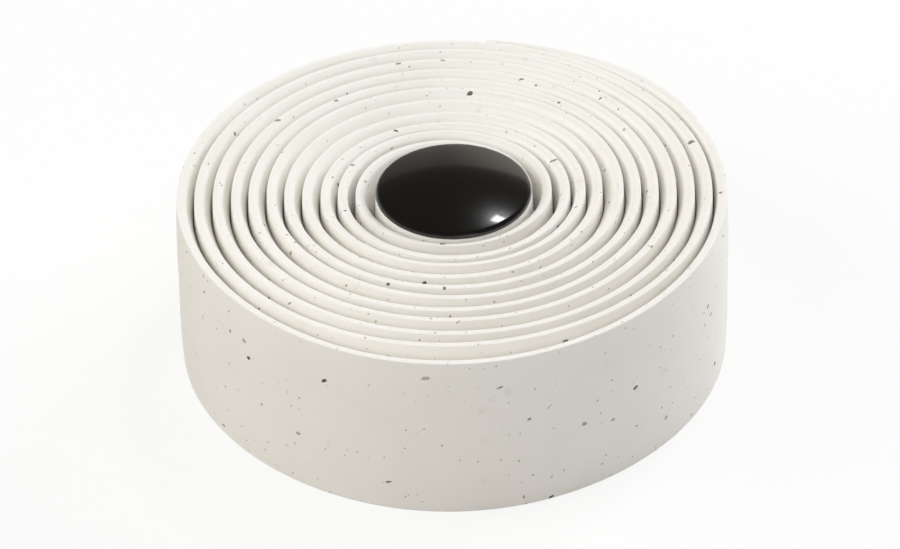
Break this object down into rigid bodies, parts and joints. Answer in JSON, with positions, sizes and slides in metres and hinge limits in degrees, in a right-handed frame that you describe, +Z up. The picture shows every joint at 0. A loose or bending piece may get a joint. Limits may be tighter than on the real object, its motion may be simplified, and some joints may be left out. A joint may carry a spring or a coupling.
{
  "type": "handlebar tape roll",
  "caption": "Padded handlebar tape wound on edge into a flat spiral roll, its edges bevelled, with a domed push-in bar-end plug closing the core.",
  "frame": {"origin": "under the middle of the roll's outline, on the surface that the roll stands on", "axes": "+Z up along the roll's axis towards the plug's domed head, -Y towards the pictured front, the tape's outer end at the back, +Y"},
  "size_m": [0.0906, 0.09, 0.0332],
  "materials": {
    "foam_tape": "matte off-white foam with fine dark cork flecks",
    "plug_plastic": "gloss black"
  },
  "bodies": {
    "root": {"tape_roll": "foam_tape", "end_plug": "plug_plastic"}
  },
  "joints": []
}
